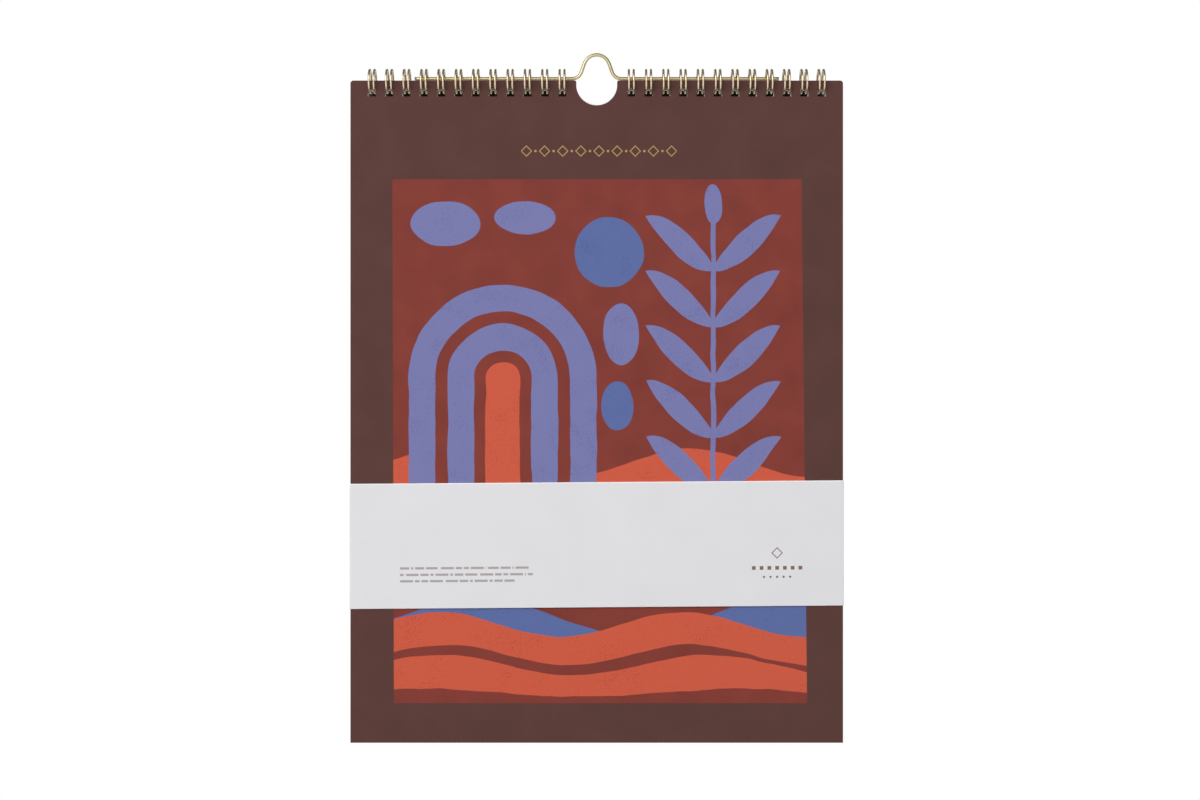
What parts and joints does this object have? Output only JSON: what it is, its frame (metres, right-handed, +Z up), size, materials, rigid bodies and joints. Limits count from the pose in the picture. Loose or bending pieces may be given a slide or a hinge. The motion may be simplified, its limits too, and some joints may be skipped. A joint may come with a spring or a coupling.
{
  "type": "wall calendar",
  "caption": "Portrait wall calendar with twin-loop wire binding, a wire hanger at the top, a thumb cut and a paper belly band.",
  "frame": {"origin": "where a nail bears, at the inside top of the hanger's hoop, in the middle of the wire's depth", "axes": "+Z up, +X to the viewer's right, -Y out of the front cover towards the viewer"},
  "size_m": [0.2416, 0.0122, 0.3378],
  "materials": {
    "gold_wire": "satin",
    "printed_card": "matte",
    "page_paper": "matte",
    "greyboard": "matte",
    "band_paper": "matte"
  },
  "bodies": {
    "hanger": {"hanger_wire": "gold_wire"},
    "calendar": {"wire_comb_left": "gold_wire", "wire_comb_right": "gold_wire", "front_cover": "printed_card", "page_block": "page_paper", "back_board": "greyboard"},
    "band": {"belly_band": "band_paper"}
  },
  "joints": [
    {"name": "calendar_swing", "type": "hinge", "parent": "hanger", "child": "calendar", "pos_m": [0, 0, -0.01085], "axis": [1, 0, 0], "range_deg": [-180, 180]},
    {"name": "band_slide", "type": "slide", "parent": "calendar", "child": "band", "axis": [0, 0, 1], "range_m": [-0.129, 0.189]}
  ]
}
